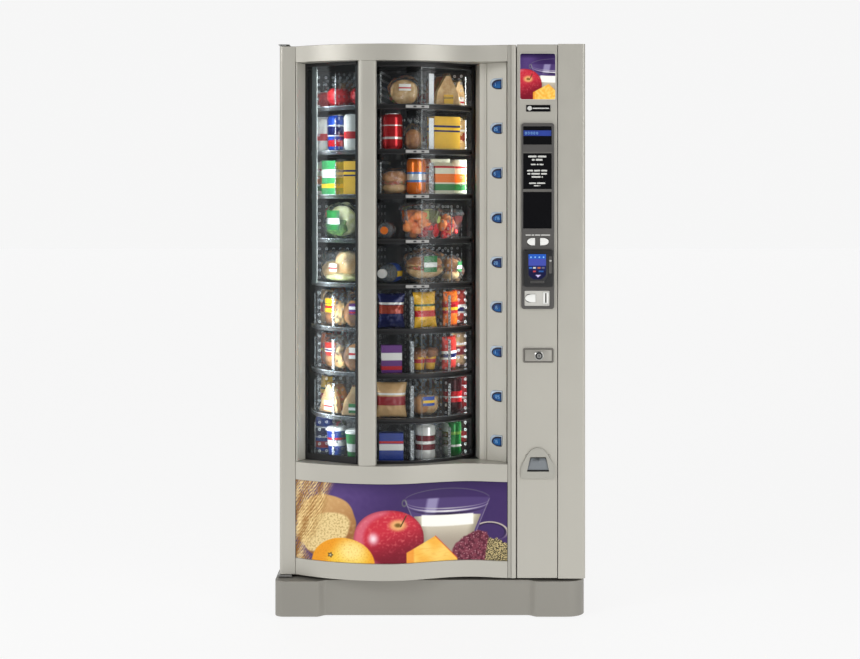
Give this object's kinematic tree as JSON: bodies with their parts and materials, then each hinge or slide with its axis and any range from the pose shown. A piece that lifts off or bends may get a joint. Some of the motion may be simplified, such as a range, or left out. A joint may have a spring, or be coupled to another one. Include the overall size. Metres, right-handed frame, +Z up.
{
  "type": "rotary vending machine",
  "caption": "Refrigerated rotary vending machine: bow-fronted glazed door, drum of round trays behind sliding hand doors, and a money column on the right.",
  "frame": {"origin": "on the floor, under the middle of the machine's outline box", "axes": "+Z up, the front with the door faces -Y, +X to the viewer's right when facing the front"},
  "size_m": [0.99, 0.9, 1.83],
  "materials": {
    "body_paint": "satin warm light grey powder coat",
    "kick_paint": "satin mid grey powder coat",
    "steel": "plain steel",
    "black_plastic": "black moulded plastic",
    "dark_bezel": "dark grey moulded plastic",
    "grey_plastic": "grey moulded plastic",
    "white_plastic": "white moulded plastic",
    "clear_plastic": "clear polycarbonate",
    "tinted_glass": "tinted insulated glass",
    "display_blue": "dark blue display lens",
    "graphic_print": "printed picture under clear plastic",
    "drum_white": "white moulded plastic",
    "aluminium": "finned coil"
  },
  "bodies": {
    "cabinet": {"cabinet_shell": "body_paint", "partition_wall": "grey_plastic", "deck_floor": "grey_plastic", "column_housing": "body_paint", "kick_plate": "kick_paint", "base_frame": "steel", "top_hinge_bracket": "steel", "bottom_hinge_bracket": "steel", "rear_grille": "steel", "power_inlet": "black_plastic", "drum_top_bearing": "black_plastic", "drum_motor": "steel", "compressor": "black_plastic", "condenser_unit": "aluminium", "evaporator_cover": "black_plastic", "evaporator_coil": "aluminium", "coin_changer": "black_plastic"},
    "drum": {"drum_spindle": "drum_white", "tray_1": "clear_plastic", "tray_2": "clear_plastic", "tray_3": "clear_plastic", "tray_4": "clear_plastic", "tray_5": "clear_plastic", "tray_6": "clear_plastic", "tray_7": "clear_plastic", "tray_8": "clear_plastic", "tray_9": "clear_plastic"},
    "drive_pinion": {"drive_pinion": "white_plastic"},
    "evaporator_fan": {"evaporator_fan": "black_plastic"},
    "condenser_fan": {"condenser_fan": "black_plastic"},
    "main_door": {"main_door_frame": "body_paint", "window_jamb": "body_paint", "price_display_bar": "display_blue", "mullion": "body_paint", "left_pane": "tinted_glass", "fixed_curved_pane": "clear_plastic", "vend_door_track": "black_plastic", "graphic_panel": "graphic_print"},
    "money_door": {"money_door": "body_paint", "picture_panel": "graphic_print", "control_bezel": "dark_bezel", "display_module": "display_blue", "bill_acceptor": "black_plastic", "coin_plate": "grey_plastic", "lock_plate": "steel", "coin_cup": "grey_plastic"},
    "select_button_left": {"select_button_left": "white_plastic"},
    "select_button_right": {"select_button_right": "white_plastic"},
    "coin_return_button": {"coin_return_button": "white_plastic"},
    "lock_cylinder": {"lock_cylinder": "steel"},
    "coin_cup_flap": {"coin_cup_flap": "grey_plastic"},
    "vend_door_1": {"vend_door_1": "clear_plastic"},
    "vend_door_2": {"vend_door_2": "clear_plastic"},
    "vend_door_3": {"vend_door_3": "clear_plastic"},
    "vend_door_4": {"vend_door_4": "clear_plastic"},
    "vend_door_5": {"vend_door_5": "clear_plastic"},
    "vend_door_6": {"vend_door_6": "clear_plastic"},
    "vend_door_7": {"vend_door_7": "clear_plastic"},
    "vend_door_8": {"vend_door_8": "clear_plastic"},
    "vend_door_9": {"vend_door_9": "clear_plastic"}
  },
  "joints": [
    {"name": "main_door_hinge", "type": "hinge", "parent": "cabinet", "child": "main_door", "pos_m": [-0.47, -0.345, 0.975], "axis": [0, 0, -1], "range_deg": [0, 100]},
    {"name": "money_door_hinge", "type": "hinge", "parent": "cabinet", "child": "money_door", "pos_m": [0.405, -0.407, 0.975], "axis": [0, 0, 1], "range_deg": [0, 100]},
    {"name": "drum_spin", "type": "hinge", "parent": "cabinet", "child": "drum", "pos_m": [-0.125, -0.102, 0.457], "axis": [0, 0, 1], "continuous": true},
    {"name": "drive_pinion_spin", "type": "hinge", "parent": "cabinet", "child": "drive_pinion", "pos_m": [-0.053, 0.02271, 0.46], "axis": [0, 0, 1], "continuous": true},
    {"name": "evaporator_fan_spin", "type": "hinge", "parent": "cabinet", "child": "evaporator_fan", "pos_m": [-0.125, 0.2125, 1.5], "axis": [0, 1, 0], "continuous": true},
    {"name": "condenser_fan_spin", "type": "hinge", "parent": "cabinet", "child": "condenser_fan", "pos_m": [0.03, 0.2225, 0.276], "axis": [0, 1, 0], "continuous": true},
    {"name": "vend_door_1_slide", "type": "hinge", "parent": "main_door", "child": "vend_door_1", "pos_m": [-0.125, -0.102, 1.6963], "axis": [0, 0, -1], "range_deg": [0, 38]},
    {"name": "vend_door_2_slide", "type": "hinge", "parent": "main_door", "child": "vend_door_2", "pos_m": [-0.125, -0.102, 1.5566], "axis": [0, 0, -1], "range_deg": [0, 38]},
    {"name": "vend_door_3_slide", "type": "hinge", "parent": "main_door", "child": "vend_door_3", "pos_m": [-0.125, -0.102, 1.4129], "axis": [0, 0, -1], "range_deg": [0, 38]},
    {"name": "vend_door_4_slide", "type": "hinge", "parent": "main_door", "child": "vend_door_4", "pos_m": [-0.125, -0.102, 1.2692], "axis": [0, 0, -1], "range_deg": [0, 38]},
    {"name": "vend_door_5_slide", "type": "hinge", "parent": "main_door", "child": "vend_door_5", "pos_m": [-0.125, -0.102, 1.1255], "axis": [0, 0, -1], "range_deg": [0, 38]},
    {"name": "vend_door_6_slide", "type": "hinge", "parent": "main_door", "child": "vend_door_6", "pos_m": [-0.125, -0.102, 0.9818], "axis": [0, 0, -1], "range_deg": [0, 38]},
    {"name": "vend_door_7_slide", "type": "hinge", "parent": "main_door", "child": "vend_door_7", "pos_m": [-0.125, -0.102, 0.8381], "axis": [0, 0, -1], "range_deg": [0, 38]},
    {"name": "vend_door_8_slide", "type": "hinge", "parent": "main_door", "child": "vend_door_8", "pos_m": [-0.125, -0.102, 0.6944], "axis": [0, 0, -1], "range_deg": [0, 38]},
    {"name": "vend_door_9_slide", "type": "hinge", "parent": "main_door", "child": "vend_door_9", "pos_m": [-0.125, -0.102, 0.5555], "axis": [0, 0, -1], "range_deg": [0, 38]},
    {"name": "select_button_left_press", "type": "slide", "parent": "money_door", "child": "select_button_left", "axis": [0, 1, 0], "range_m": [0, 0.003], "stiffness_N_per_m": 300},
    {"name": "select_button_right_press", "type": "slide", "parent": "money_door", "child": "select_button_right", "axis": [0, 1, 0], "range_m": [0, 0.003], "stiffness_N_per_m": 300},
    {"name": "coin_return_button_press", "type": "slide", "parent": "money_door", "child": "coin_return_button", "axis": [0, 1, 0], "range_m": [0, 0.003], "stiffness_N_per_m": 300},
    {"name": "lock_turn", "type": "hinge", "parent": "money_door", "child": "lock_cylinder", "pos_m": [0.347, -0.407, 0.8335], "axis": [0, 1, 0], "range_deg": [0, 90]},
    {"name": "coin_cup_flap_swing", "type": "hinge", "parent": "money_door", "child": "coin_cup_flap", "pos_m": [0.34375, -0.408, 0.5085], "axis": [1, 0, 0], "range_deg": [0, 60]}
  ],
  "couplings": [
    {"joint": "drive_pinion_spin", "follows": "drum_spin", "ratio": -3}
  ]
}
